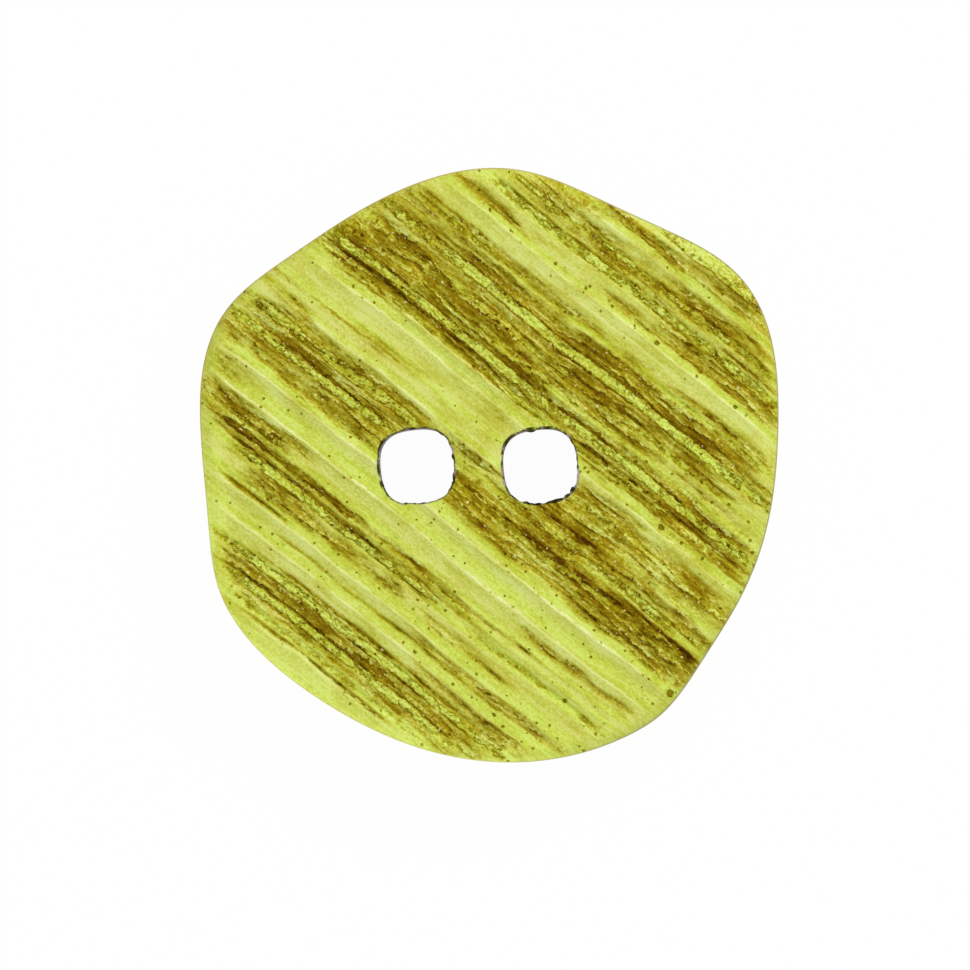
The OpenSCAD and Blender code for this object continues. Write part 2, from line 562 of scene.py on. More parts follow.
def pebble_outline():
    """Outline of the button, anticlockwise, from the widest ring of the CAD solid."""
    vertices = np.array([vertex.co for vertex in frame["nodes"]["button"].data.vertices]) / MM
    ring = vertices[abs(vertices[:, 2] - BACK_ROUND) < RIM_CLEARANCE][:, :2]
    centre = (ring.min(0) + ring.max(0)) / 2
    ring_turns, ring_radii = polar(ring, centre)
    turns = np.linspace(-np.pi, np.pi, RIM_POINTS, endpoint=False)
    radii = np.interp(turns, ring_turns, ring_radii, period=2 * np.pi) - RIM_CLEARANCE
    for _ in range(SMOOTHING_PASSES):
        radii = (np.roll(radii, 1) + 2 * radii + np.roll(radii, -1)) / 4
    return centre + radii[:, None] * np.stack([np.cos(turns), np.sin(turns)], axis=1)


def edge_section():
    """Inset and height of every ring of the edge, from the back, up the side, to the face."""
    back_lifts = np.linspace(0, np.pi / 2, BACK_STEPS + 1)
    face_lifts = np.linspace(0, np.pi / 2, FACE_STEPS + 1)
    back = [(BACK_ROUND * (1 - math.sin(a)), BACK_ROUND * (1 - math.cos(a))) for a in back_lifts]
    side = [(0.0, z) for z in np.linspace(BACK_ROUND, THICKNESS - FACE_ROUND, SIDE_STEPS + 1)[1:-1]]
    face = [(FACE_ROUND * (1 - math.cos(a)), THICKNESS - FACE_ROUND * (1 - math.sin(a))) for a in face_lifts]
    return back + side + face


def edge_rings(outline):
    """Rings of the rounded edge, each a loop of points with its height."""
    along = np.roll(outline, -1, axis=0) - np.roll(outline, 1, axis=0)
    inward = np.stack([-along[:, 1], along[:, 0]], axis=1) / np.hypot(along[:, 0], along[:, 1])[:, None]
    return [raised(outline + inset * inward, height) for inset, height in edge_section()]


def thread_holes():
    """The bores of the record, as its mounts."""
    return [mount for mount in frame["record"]["mounts"] if mount["kind"] == "bore"]


def hole_radius(mount, turns):
    """Radius of a softly squared thread hole at every angle."""
    squared = 1 + HOLE_SQUARENESS * np.cos(HOLE_CORNERS * (turns - GRAIN_ANGLE))
    return mount["dims"]["r_mm"] * squared + HOLE_WEAR


def large_chips(number, turns):
    """How much of each larger chip of a hole there is at every angle, from 0 to 1, and its reach."""
    for hole, angle, half_angle, reach in HOLE_CHIPS:
        if hole == number:
            away = np.degrees(np.angle(np.exp(1j * (turns - math.radians(angle)))))
            yield np.exp(-(away / half_angle) ** 4), reach


def hole_rings(mount, number):
    """Rings of one thread hole from the face down to the back, with a worn, chipped mouth."""
    turns = np.linspace(-np.pi, np.pi, HOLE_POINTS, endpoint=False)
    chance = np.random.default_rng(number)
    chips = chance.normal(0, CHIP_DEPTH, HOLE_POINTS)
    chips = (np.roll(chips, 1) + chips + np.roll(chips, -1)) / 2
    chips -= sum(share * reach for share, reach in large_chips(number, turns))
    direction = np.stack([np.cos(turns), np.sin(turns)], axis=1)
    centre = np.array(mount["pos_m"][:2]) / MM
    lifts = np.linspace(0, np.pi / 2, MOUTH_STEPS + 1)
    flare = [(MOUTH_ROUND * (1 - math.sin(a)), THICKNESS - MOUTH_ROUND * (1 - math.cos(a))) for a in lifts]
    wall = [(0.0, z) for z in np.linspace(THICKNESS - MOUTH_ROUND, MOUTH_ROUND, WALL_STEPS + 1)[1:-1]]
    section = flare + wall + [(out, THICKNESS - z) for out, z in reversed(flare)]
    rings = []
    for out, z in section:
        wear = chips * np.clip(z / THICKNESS, 0, 1) ** CHIP_FALL
        loop = centre + (hole_radius(mount, turns) + out + wear)[:, None] * direction
        rings.append(raised(loop, z))
    return rings


def net(edge, holes, step_along, step_across):
    """Points of a staggered net along the grain, inside the edge and clear of the holes."""
    reach = np.abs(edge).max() * math.sqrt(2)
    rows = np.arange(-reach, reach, step_across)
    columns = np.arange(-reach, reach, step_along)
    along, across = np.meshgrid(columns, rows)
    along[1::2] += step_along / 2
    cosine, sine = math.cos(GRAIN_ANGLE), math.sin(GRAIN_ANGLE)
    points = np.column_stack([
        (along * cosine - across * sine).ravel(),
        (along * sine + across * cosine).ravel(),
    ])
    kept = within(points, edge, NET_MARGIN) > 0
    for hole in holes:
        kept &= within(points, hole, -NET_MARGIN) < 0
    return points[kept]


def fill(edge, holes, step_along, step_across):
    """Points of the net inside an edge, and triangles between the edge, the holes and the net."""
    inner = net(edge, holes, step_along, step_across)
    loops = [edge, *holes]
    points = np.concatenate([*loops, inner])
    starts = np.cumsum([0] + [len(loop) for loop in loops])
    borders = [
        (int(start + i), int(start + (i + 1) % len(loop)))
        for start, loop in zip(starts, loops) for i in range(len(loop))
    ]
    inside_borders = 1
    places = [Vector(point) for point in points]
    _, _, corners, sources, _, _ = delaunay_2d_cdt(places, borders, [], inside_borders, MERGE_DISTANCE)
    origin = np.array([source[0] for source in sources])
    triangles = origin[np.array(corners)]
    middles = points[triangles].mean(axis=1)
    kept = np.ones(len(triangles), bool)
    for hole in holes:
        kept &= within(middles, hole, 0) < 0
    return inner, triangles[kept]


def ring_faces(first, count, rings):
    """Quads between rings of points that follow one another in the list of vertices."""
    steps = np.arange(count)
    after = (steps + 1) % count
    faces = []
    for ring in range(rings - 1):
        low = first + ring * count
        high = low + count
        faces.append(np.column_stack([low + steps, low + after, high + after, high + steps]))
    return np.concatenate(faces)


def pebble():
    """Vertices in millimetres and faces of the plain pebble with its holes, before the face is combed."""
    outline = pebble_outline()
    edge = edge_rings(outline)
    holes = [hole_rings(mount, number) for number, mount in enumerate(thread_holes())]
    vertices = [*edge]
    faces = ring_faces(0, RIM_POINTS, len(edge)).tolist()
    total = RIM_POINTS * len(edge)
    mouths, exits = [], []
    for rings in holes:
        faces += ring_faces(total, HOLE_POINTS, len(rings)).tolist()
        mouths.append(total)
        exits.append(total + HOLE_POINTS * (len(rings) - 1))
        vertices += rings
        total += HOLE_POINTS * len(rings)
    # The face and the back: ring of the edge, ring of the holes and its starts, height, net steps, facing
    sides = [
        (len(edge) - 1, 0, mouths, THICKNESS, STEP_ALONG, STEP_ACROSS, 1),
        (0, -1, exits, 0.0, BACK_STEP, BACK_STEP, -1),
    ]
    for edge_ring, hole_ring, hole_starts, height, step_along, step_across, facing in sides:
        loops = [rings[hole_ring][:, :2] for rings in holes]
        inner, triangles = fill(edge[edge_ring][:, :2], loops, step_along, step_across)
        places = [np.arange(RIM_POINTS) + edge_ring * RIM_POINTS]
        places += [np.arange(HOLE_POINTS) + start for start in hole_starts]
        places.append(np.arange(len(inner)) + total)
        faces += np.concatenate(places)[triangles][:, ::facing].tolist()
        vertices.append(raised(inner, height))
        total += len(inner)
    return np.concatenate(vertices), faces


# Where stain, lines and wear lie on the face


def grain_places(points):
    """Places along and across the wandering grain, in millimetres."""
    along = points[:, 0] * math.cos(GRAIN_ANGLE) + points[:, 1] * math.sin(GRAIN_ANGLE)
    across = points[:, 1] * math.cos(GRAIN_ANGLE) - points[:, 0] * math.sin(GRAIN_ANGLE)
    wander = sum(
        height * np.sin(2 * np.pi * (along / length + across * lean + start))
        for height, length, lean, start in GRAIN_WAVES
    )
    return along, across + wander


def taper(along, start, end, length):
    """1 along a stroke, falling to 0 over a length round each of its ends."""
    return np.clip(np.minimum(along - start, end - along) / length + 0.5, 0, 1)


def bands(along, across, rows):
    """Broad strokes laid over one another, from 0 to 1 at every point."""
    bare = np.ones(len(along))
    for place, half_width, start, end, strength in rows:
        blur = STAIN_BLUR + STAIN_SPREAD * half_width
        inside = np.clip((half_width - abs(across - place)) / blur + 0.5, 0, 1)
        bare *= 1 - strength * inside * taper(along, start, end, STAIN_TAPER)
    return 1 - bare


def thin_lines(along, across, rows):
    """Offset across the grain from the nearest thin line, and the strength of that line, at every point."""
    offsets = np.full(len(along), 1.0)
    strengths = np.zeros(len(along))
    for place, start, end, strength in rows:
        offset = across - place
        run = taper(along, start, end, LINE_TAPER)
        nearer = (abs(offset) < abs(offsets)) & (run > 0)
        near = np.clip((LINE_REACH * max(strength, 1) - abs(offset)) / LINE_FADE, 0, 1)
        offsets = np.where(nearer, offset, offsets)
        strengths = np.where(nearer, strength * near * run, strengths)
    return offsets, strengths


def lee_sides(along, across):
    """Painted shade: 1 just below the crest lines, on the side away from the light, falling to 0 a little
    way down.
    """
    field = np.zeros(len(along))
    for place, start, end, strength in CREST_HIGHLIGHTS:
        below = (place - across) / LEE_WIDTH
        near = np.clip(1 - below, 0, 1) * np.clip(below / LEE_START, 0, 1)
        field = np.maximum(field, strength * near * taper(along, start, end, LINE_TAPER))
    return field


def rising_slopes(across):
    """1 on the slopes that rise from a foot to its crest, 0 elsewhere."""
    rows = [((foot + crest) / 2, (foot - crest) / 2, -FAR, FAR, 1) for foot, crest, _ in SCALLOPS]
    return bands(np.zeros(len(across)), across, rows)


def pitted(along, across):
    """1 in the middle of the larger pits, 0 at their edges and elsewhere."""
    field = np.zeros(len(along))
    for pit_along, pit_across, radius in PITS:
        away = np.hypot(along - pit_along, across - pit_across) / radius
        field = np.maximum(field, np.clip(2 - 2 * away, 0, 1))
    return field


def hole_fields(points):
    """1 on the walls of the thread holes, falling to 0 a little way out, and 1 on their larger chips."""
    edges = np.zeros(len(points))
    chips = np.zeros(len(points))
    for number, mount in enumerate(thread_holes()):
        turns, radii = polar(points[:, :2], np.array(mount["pos_m"][:2]) / MM)
        past = (radii - hole_radius(mount, turns)) / MOUTH_SHADE_WIDTH
        edges = np.maximum(edges, np.clip(1 - past, 0, 1))
        for share, _ in large_chips(number, turns):
            chips = np.maximum(chips, share * (past < 1))
    return edges, chips


def face_attributes(mesh, points):
    """Stores the fields that the comb and the stained resin read."""
    along, across = grain_places(points)
    # Painted light on the rim: 1 at the outline, falling to 0 inward
    rim = np.clip(1 - within(points[:, :2], pebble_outline(), 0) / RIM_LIGHT_WIDTH, 0, 1)
    above_end = points[:, 2] - THICKNESS + FACE_END * FACE_ROUND
    face = np.clip(above_end / (FACE_FADE * FACE_ROUND), 0, 1)
    line_offset, line = thin_lines(along, across, DARK_LINES)
    crest_offset, crest = thin_lines(along, across, CREST_HIGHLIGHTS)
    hole_edge, chip = hole_fields(points)
    fields = {
        "stain": bands(along, across, STAINS) * face,
        "line": line * face,
        "line_offset": line_offset,
        "crumble": bands(along, across, CRUMBLED) * face,
        "crest": crest * face,
        "crest_offset": crest_offset,
        "slope": rising_slopes(across) * face,
        "lee": lee_sides(along, across) * face,
        "pit": pitted(along, across) * face,
        "hole_edge": hole_edge,
        "chip": chip,
        "rim": rim,
        "face": face,
    }
    for name, values in fields.items():
        mesh.attributes.new(name, "FLOAT", "POINT").data.foreach_set("value", values.astype(np.float32))
    grain = np.column_stack([along, across, points[:, 2]]).astype(np.float32)
    mesh.attributes.new("grain", "FLOAT_VECTOR", "POINT").data.foreach_set("vector", grain.ravel())


# Node trees


class Graph:
    """A node tree with short calls for the kinds of node that the comb and the materials share."""

    def __init__(self, tree):
        self.tree = tree

    def feed(self, socket, value):
        """Links a socket to another one, or sets it to a value."""
        if isinstance(value, bpy.types.NodeSocket):
            self.tree.links.new(value, socket)
        else:
            socket.default_value = value

    def node(self, kind, inputs=(), **settings):
        """A new node with its settings, and its inputs fed by index or name."""
        made = self.tree.nodes.new(kind)
        for name, value in settings.items():
            setattr(made, name, value)
        for key, value in dict(inputs).items():
            self.feed(made.inputs[key], value)
        return made

    def math(self, operation, first, second=0.0, third=0.0):
        return self.node("ShaderNodeMath", {0: first, 1: second, 2: third}, operation=operation).outputs[0]

    def add(self, first, second):
        return self.math("ADD", first, second)

    def less(self, first, second):
        return self.math("SUBTRACT", first, second)

    def times(self, first, second):
        return self.math("MULTIPLY", first, second)

    def larger(self, first, second):
        return self.math("MAXIMUM", first, second)

    def smaller(self, first, second):
        return self.math("MINIMUM", first, second)

    def scaled(self, value, factor, start):
        """A start, plus a value times a factor."""
        return self.math("MULTIPLY_ADD", value, factor, start)

    def total(self, *parts):
        """Sum of values, each times its weight."""
        terms = [self.times(value, weight) for value, weight in parts]
        whole = terms[0]
        for term in terms[1:]:
            whole = self.add(whole, term)
        return whole

    def clamped(self, value):
        return self.node("ShaderNodeClamp", {0: value}).outputs[0]

    def ramp(self, value, start, end, first=1.0, last=0.0):
        """From the first value at the start to the last at the end, straight between them."""
        inputs = {0: value, 1: start, 2: end, 3: first, 4: last}
        return self.node("ShaderNodeMapRange", inputs).outputs[0]

    def step(self, value, low, high):
        """0 below low, 1 above high, smooth between them. Low may be the greater, and then it falls."""
        if low < high:
            inputs = {0: value, 1: low, 2: high, 3: 0.0, 4: 1.0}
        else:
            inputs = {0: value, 1: high, 2: low, 3: 1.0, 4: 0.0}
        return self.node("ShaderNodeMapRange", inputs, interpolation_type="SMOOTHSTEP").outputs[0]

    def split(self, vector):
        """The three axes of a vector."""
        return self.node("ShaderNodeSeparateXYZ", {0: vector}).outputs

    def joined(self, x, y, z=0.0):
        """A vector from its axes."""
        return self.node("ShaderNodeCombineXYZ", {0: x, 1: y, 2: z}).outputs[0]

    def multiplied(self, first, second):
        """Two vectors or colours, multiplied axis by axis."""
        return self.node("ShaderNodeVectorMath", {0: first, 1: second}, operation="MULTIPLY").outputs[0]

    def noise(self, vector, scale=1.0, detail=2.0, roughness=0.5, flat=True):
        """Soft noise from 0 to 1, on the first two axes or on all three."""
        inputs = {"Vector": vector, "Scale": scale, "Detail": detail, "Roughness": roughness}
        return self.node("ShaderNodeTexNoise", inputs, noise_dimensions="2D" if flat else "3D").outputs[0]

    def grained(self, grain, pattern):
        """Noise from 0 to 1, stretched along the grain in one of the named patterns."""
        along, across, detail, roughness = pattern
        place = self.multiplied(grain, (along, across, 1.0))
        return self.noise(place, detail=detail, roughness=roughness)

    def swing(self, noise):
        """Noise about 0 instead of about a half."""
        return self.less(noise, 0.5)

    def blend(self, share, first, second):
        """From the first colour at a share of 0 to the second at 1."""
        inputs = {0: share, 6: first, 7: second}
        return self.node("ShaderNodeMix", inputs, data_type="RGBA").outputs[2]


# Patterns that the comb and the resin share


def torn_edges(graph, grain, crumble):
    """Torn ridges broken into beads: above about 0.4 on a ridge, 0 or less well away from the ridges."""
    beads = graph.swing(graph.grained(grain, BEADS))
    runs = graph.swing(graph.grained(grain, RUNS))
    unrest = graph.total((beads, 3.4), (runs, 2.2))
    return graph.times(crumble, graph.add(unrest, 0.62))


def fibres(graph, grain):
    """Torn fibres that overlap like shingles: how far across its fibre a point is, from 0 at the worn, lit
    edge to 1 under the next one, and two tones of the fibre about 0."""
    along, across, _ = graph.split(grain)
    bend = graph.times(graph.grained(grain, BENDS), FIBRE_BEND)
    jag = graph.swing(graph.grained(grain, JAGS))
    place = graph.add(graph.scaled(across, 1 / FIBRE_WIDTH, bend), jag)
    number = graph.math("FLOOR", place)
    tones = []
    for start in TONE_STARTS:
        row = graph.joined(graph.scaled(along, TONE_ALONG, start), graph.times(number, TONE_ACROSS))
        tones.append(graph.swing(graph.noise(row)))
    return graph.math("FRACT", place), *tones


def specks(graph, grain, spacing, chance):
    """Small ragged pits of many sizes, scattered at a spacing: 1 in a pit, 0 outside."""
    place = graph.multiplied(grain, (1 / spacing, 1 / spacing, 1.0))
    inputs = {"Vector": place, "Scale": 1.0}
    cell = graph.node("ShaderNodeTexVoronoi", inputs, voronoi_dimensions="2D").outputs
    luck = graph.split(cell["Color"])[0]
    chosen = graph.math("GREATER_THAN", luck, 1 - chance)
    size = graph.ramp(luck, 1 - chance, 1.0, *SPECK_SIZES)
    away = graph.scaled(graph.swing(graph.grained(grain, RAGS)), SPECK_RAGS, cell["Distance"])
    return graph.times(graph.step(graph.less(size, away), 0.0, SPECK_SOFTNESS), chosen)


# The combed face


def stored_field(graph, name, kind="FLOAT"):
    """A field of the mesh, for the comb."""
    return graph.node("GeometryNodeInputNamedAttribute", {"Name": name}, data_type=kind).outputs[0]


def scallop_depth(graph, grain):
    """Full depth of the scallops, each falling from one crest to its foot and rising to the next crest."""
    across = graph.split(grain)[1]
    depth = 0.0
    last_crest = FIRST_CREST
    for foot, crest, full_depth in SCALLOPS:
        wall = graph.larger(graph.ramp(across, last_crest, foot), graph.ramp(across, crest, foot))
        depth = graph.add(depth, graph.scaled(graph.times(wall, wall), -full_depth, full_depth))
        last_crest = crest
    return graph.times(depth, graph.scaled(graph.grained(grain, SWAY), 0.8, 0.6))


def stain_density(graph, grain):
    """How much stain the face soaks up: its strokes, smeared and patched along the grain."""
    stain = stored_field(graph, "stain")
    patches = graph.swing(graph.grained(grain, PATCHES))
    smears = graph.swing(graph.grained(grain, SMEARS))
    unrest = graph.total((patches, 1.5), (smears, 1.0))
    reach = graph.scaled(graph.step(stain, 0.0, 0.35), 0.75, 0.25)
    return graph.add(stain, graph.times(unrest, reach))


def comb_depth(graph, given, grain, density):
    """Depth of the combed face below its lands in millimetres: scallops, tears, fibres, grit and pits."""
    crumble = stored_field(graph, "crumble")
    torn = graph.larger(graph.step(density, 0.05, 0.5), graph.step(crumble, 0.0, 0.3))
    ridge = graph.step(torn_edges(graph, grain, crumble), 0.30, 0.50)
    tear = graph.less(torn, graph.times(torn, ridge))
    valleys = graph.times(fibres(graph, grain)[0], given["Valley depth"])
    grit = graph.times(graph.grained(grain, CRUMBS), given["Grit depth"])
    row_pits = graph.times(specks(graph, grain, *SUNK_PITS), stored_field(graph, "slope"))
    pits = graph.larger(row_pits, stored_field(graph, "pit"))
    return graph.total(
        (scallop_depth(graph, grain), given["Scallop share"]),
        (tear, given["Tear depth"]),
        (graph.add(valleys, grit), torn),
        (pits, given["Pit depth"]),
    )


def comb_tree():
    """Geometry Nodes tree that combs the pebble's face and stores how much stain each place soaks up."""
    tree = bpy.data.node_groups.new("comb", "GeometryNodeTree")
    tree.interface.new_socket("Geometry", in_out="OUTPUT", socket_type="NodeSocketGeometry")
    tree.interface.new_socket("Geometry", in_out="INPUT", socket_type="NodeSocketGeometry")
    for name in ("Face height", *COMB_DEPTHS):
        tree.interface.new_socket(name, in_out="INPUT", socket_type="NodeSocketFloat")
    tree.interface.new_socket("Resin", in_out="INPUT", socket_type="NodeSocketMaterial")
    graph = Graph(tree)
    given = graph.node("NodeGroupInput").outputs
    grain = stored_field(graph, "grain", "FLOAT_VECTOR")
    density = stain_density(graph, grain)
    floor = graph.scaled(comb_depth(graph, given, grain, density), -MM, given["Face height"])
    x, y, z = graph.split(graph.node("GeometryNodeInputPosition").outputs[0])
    lowered = graph.joined(x, y, graph.smaller(z, floor))
    soaked = graph.times(density, stored_field(graph, "face"))
    steps = [
        ("GeometryNodeStoreNamedAttribute", {"Name": "soaked", "Value": soaked}),
        ("GeometryNodeSetPosition", {"Position": lowered}),
        ("GeometryNodeRealizeInstances", {}),
        ("GeometryNodeSetMaterial", {"Material": given["Resin"]}),
    ]
    made = given["Geometry"]
    for kind, inputs in steps:
        made = graph.node(kind, {"Geometry": made, **inputs}).outputs[0]
    graph.node("NodeGroupOutput", {0: made})
    return tree


def combed_button(resin):
    """The finished button as one plain mesh."""
    points, faces = pebble()
    blank = bpy.data.meshes.new("pebble")
    blank.from_pydata(points * MM, [], faces)
    face_attributes(blank, points)
    button = bpy.data.objects.new("combed_button", blank)
    bpy.context.scene.collection.objects.link(button)
    comb = button.modifiers.new("comb", "NODES")
    comb.node_group = comb_tree()
    settings = {"Face height": THICKNESS * MM, "Resin": resin, **COMB_DEPTHS}
    for item in comb.node_group.interface.items_tree:
        if item.name in settings:
            comb[item.identifier] = settings[item.name]
    evaluated = button.evaluated_get(bpy.context.evaluated_depsgraph_get())
    combed = bpy.data.meshes.new_from_object(evaluated)
    button.modifiers.clear()
    button.data = combed
    bpy.data.meshes.remove(blank)
    combed.name = "combed_button"
    combed.shade_smooth()
    return button


# The stained resin


def surface(graph):
    """The fields and patterns that the colour, the roughness and the fine bumps of the resin share."""

    def stored(name, output="Fac"):
        return graph.node("ShaderNodeAttribute", attribute_name=name).outputs[output]

    on = SimpleNamespace(stored=stored, grain=stored("grain", "Vector"))
    on.place = graph.node("ShaderNodeTexCoord").outputs["Object"]
    on.x, on.y, on.z = graph.split(on.place)
    on.low_left = graph.step(graph.total((on.x, -0.6), (on.y, -0.8)), 4 * MM, 8 * MM)
    on.face = stored("face")
    on.slope = stored("slope")
    on.soaked = stored("soaked")
    on.stained = graph.step(on.soaked, 0.05, 0.6)
    on.fine = graph.swing(graph.grained(on.grain, GRIT))
    on.dust = graph.swing(graph.grained(on.grain, DUST))
    on.mottle = graph.swing(graph.grained(on.grain, MOTTLE))
    on.streak = graph.swing(graph.grained(on.grain, STREAKS))
    on.fibre, on.tone, on.hue = fibres(graph, on.grain)
    add_tears(graph, on)
    add_lines(graph, on)
    add_pits(graph, on)
    return on


def add_tears(graph, on):
    """Beaded ridges, the dark gaps round them, stain with painted shade, all that is torn, and the worn
    edges of the fibres, rubbed thin of stain and painted as lit.
    """
    edges = torn_edges(graph, on.grain, on.stored("crumble"))
    on.ridge = graph.step(edges, 0.34, 0.46)
    # Dark outline round the beads: stain in the gaps, with painted shade
    on.gap = graph.clamped(graph.less(graph.step(edges, 0.08, 0.30), on.ridge))
    on.torn = graph.larger(on.stained, graph.step(edges, 0.05, 0.3))
    # Worn fibre edges: stain rubbed thin, and a painted highlight
    fibre_edge = graph.step(graph.add(on.fibre, graph.times(on.tone, 1.2)), 0.45, 0.05)
    on.worn = graph.times(fibre_edge, graph.times(on.torn, graph.step(on.fine, 0.14, -0.06)))


def drawn_line(graph, on, name, half_width, waver):
    """A thin wavering line: its strength in the middle, 0 outside. Past a strength of 1 it widens."""
    strength = on.stored(name)
    offset = graph.add(on.stored(name + "_offset"), graph.times(on.fine, waver))
    offset = graph.math("DIVIDE", graph.math("ABSOLUTE", offset), graph.larger(strength, 1.0))
    inside = graph.step(offset, half_width, 0.3 * half_width)
    return graph.times(inside, graph.smaller(strength, LINE_STRONGEST))


def add_lines(graph, on):
    """Dark lines of stain and painted shade that weaken here and there, and painted crest highlights that
    break into dust.
    """
    whole = graph.step(graph.grained(on.grain, BREAKS), 0.40, 0.58)
    on.line = graph.times(drawn_line(graph, on, "line", *DARK_LINE), graph.scaled(whole, 0.65, 0.35))
    on.crest = graph.times(drawn_line(graph, on, "crest", *CREST_HIGHLIGHT_LINE), graph.step(on.dust, -0.25, 0.05))


def add_pits(graph, on):
    """Stained pits: rows of specks on the slopes, dots in patches, and the single larger pits."""
    row_pit = graph.times(specks(graph, on.grain, *ROW_PITS), on.slope)
    dot = graph.times(specks(graph, on.grain, *DOTS), graph.step(on.mottle, -0.05, 0.10))
    large_pit = graph.times(on.stored("pit"), graph.scaled(on.fine, 3.0, 1.0))
    on.pit = graph.larger(graph.larger(row_pit, dot), graph.step(large_pit, 0.35, 0.65))


def bare_resin(graph, on):
    """Colour of the resin under the stain: lime, with painted light on the slopes that face the light,
    painted shade below the crests, painted light on the rim, and painted highlights on the worn fibre edges
    and the crests.
    """
    # Painted light on the slopes that face the light, with random mottle and streaks
    fresh_and_lit = graph.total((on.slope, 0.5), (on.mottle, 0.6), (on.streak, 1.2))
    colour = graph.blend(graph.clamped(graph.add(fresh_and_lit, 0.25)), DULL_LIME, FRESH_AND_LIT_LIME)
    fibre = graph.blend(graph.step(on.hue, -0.12, 0.12), GOLDEN_FIBRE, GREY_FIBRE)
    layers = [
        # Painted shade on the lee side below the crests
        (on.stored("lee"), 0.6, LEE_SHADE_LIME),
        # Painted light on the rim, most of it at the lower left
        (on.stored("rim"), graph.scaled(on.low_left, 0.8, 0.1), RIM_LIGHT_LIME),
        (on.stained, 0.4, fibre),
        (on.ridge, 0.6, RIDGE_LIME),
        # Painted highlight on the worn fibre edges
        (on.worn, 0.45, WORN_HIGHLIGHT_LIME),
        # Painted highlight along the crests
        (on.crest, 0.95, CREST_HIGHLIGHT_CREAM),
    ]
    for place, strength, layer in layers:
        colour = graph.blend(graph.times(place, strength), colour, layer)
    return colour


def stain_thickness(graph, on):
    """How thick the brown stain lies, from about 0 to 1."""
    swings = graph.total((on.tone, 1.2), (graph.swing(on.fibre), 0.22), (on.fine, 0.6), (on.streak, 0.7))
    # Dark line under the edge of the next fibre: stain with painted shade
    crack_stain_and_shade = graph.step(graph.add(on.fibre, graph.times(on.hue, 1.2)), 0.74, 0.98)
    crack_stain_and_shade = graph.times(graph.times(crack_stain_and_shade, on.torn), graph.step(on.fine, -0.08, 0.06))
    thickness = graph.total(
        (graph.clamped(on.soaked), 0.55),
        (swings, graph.scaled(graph.step(on.soaked, 0.1, 0.8), 0.9, 0.15)),
        (on.mottle, 0.2),
        (on.streak, 0.15),
        (crack_stain_and_shade, 0.42),
        # Gaps round the beads: stain with painted shade
        (on.gap, 0.42),
    )
    rubbed = graph.larger(graph.times(on.ridge, 0.9), on.worn)
    thickness = graph.times(thickness, graph.scaled(rubbed, -0.6, 1.0))
    # Dark lines: stain at the feet of the steps, and painted shade
    marks = graph.total((on.line, 0.65), (on.pit, 0.6), (on.dust, graph.scaled(on.torn, 0.5, 0.33)))
    return graph.larger(graph.add(thickness, marks), -0.05)


def glaze(graph, thickness):
    """Colour of the light that a layer of stain lets through, for a thickness of about 0 to 1."""
    return graph.joined(*[graph.math("POWER", share, thickness) for share in STAIN_PASSES])


def face_colour(graph, on):
    """Stained resin of the face, with a few painted glints on its torn fibres."""
    colour = graph.multiplied(bare_resin(graph, on), glaze(graph, stain_thickness(graph, on)))
    # Painted glints: cream specks on the torn fibres
    glint = graph.step(graph.grained(on.grain, GLINTS), 0.79, 0.86)
    glint = graph.times(glint, graph.times(on.torn, graph.step(on.mottle, -0.04, 0.06)))
    return graph.blend(graph.times(glint, 0.75), colour, GLINT_CREAM)


def edge_colour(graph, on, colour):
    """Runs the colour of the face over the rim, with a thin amber line there that turns grey on the right as
    painted shade, into the cloudy side.
    """
    clouds = graph.noise(on.place, CLOUD_GRAINS, detail=5.0, roughness=0.6, flat=False)
    side = graph.blend(graph.step(clouds, 0.3, 0.7), SIDE_OLIVE, SIDE_LIME)
    colour = graph.blend(on.face, side, colour)
    # Rim line: amber, turning grey on the right as painted shade
    rim_line = graph.blend(graph.step(on.x, -2 * MM, 6 * MM), RIM_AMBER, RIM_SHADE_GREY)
    turning = graph.times(on.face, graph.less(1.0, on.face))
    share = graph.times(graph.times(turning, 3.0), graph.scaled(on.low_left, -0.8, 1.0))
    return graph.blend(share, colour, rim_line)


def hole_colour(graph, on, colour):
    """Paints the chipped mouths of the holes dark brown as painted shade, with paler patches of painted
    highlight, and paints their walls brown as painted shade.
    """
    edge = on.stored("hole_edge")
    mouth = graph.step(on.z, (THICKNESS - MOUTH_SHADE_END) * MM, (THICKNESS - MOUTH_SHADE_FULL) * MM)
    patches = graph.swing(graph.noise(on.place, HOLE_PATCH_GRAINS, detail=3.0, flat=False))
    # Painted shade round the hole mouths, broken by patches
    mouth_shade = graph.step(graph.times(edge, graph.scaled(patches, 3.0, 1.0)), 0.50, 0.80)
    chip = graph.times(graph.times(on.stored("chip"), mouth), graph.step(edge, 0.4, 0.6))
    wall = graph.blend(graph.step(patches, -0.2, 0.2), WALL_SHADE_BROWN, WALL_SHADE_TAN)
    mouth_colour = graph.blend(graph.step(patches, 0.01, 0.10), MOUTH_SHADE_BROWN, MOUTH_HIGHLIGHT_GREY)
    dark = graph.blend(chip, graph.blend(mouth, wall, mouth_colour), CHIP_BLACK)
    below = graph.step(graph.scaled(mouth, -0.7, edge), 0.2, 0.3)
    share = graph.larger(graph.larger(mouth_shade, chip), below)
    return graph.blend(graph.times(share, 0.95), colour, dark)


def fine_relief(graph, on):
    """Height of the relief that is finer than the mesh, in millimetres."""
    rough = graph.times(on.fine, graph.add(on.torn, 0.2))
    height = graph.total((rough, -0.06), (on.ridge, 0.015), (on.dust, 0.02), (on.pit, -0.03))
    return graph.times(height, on.face)


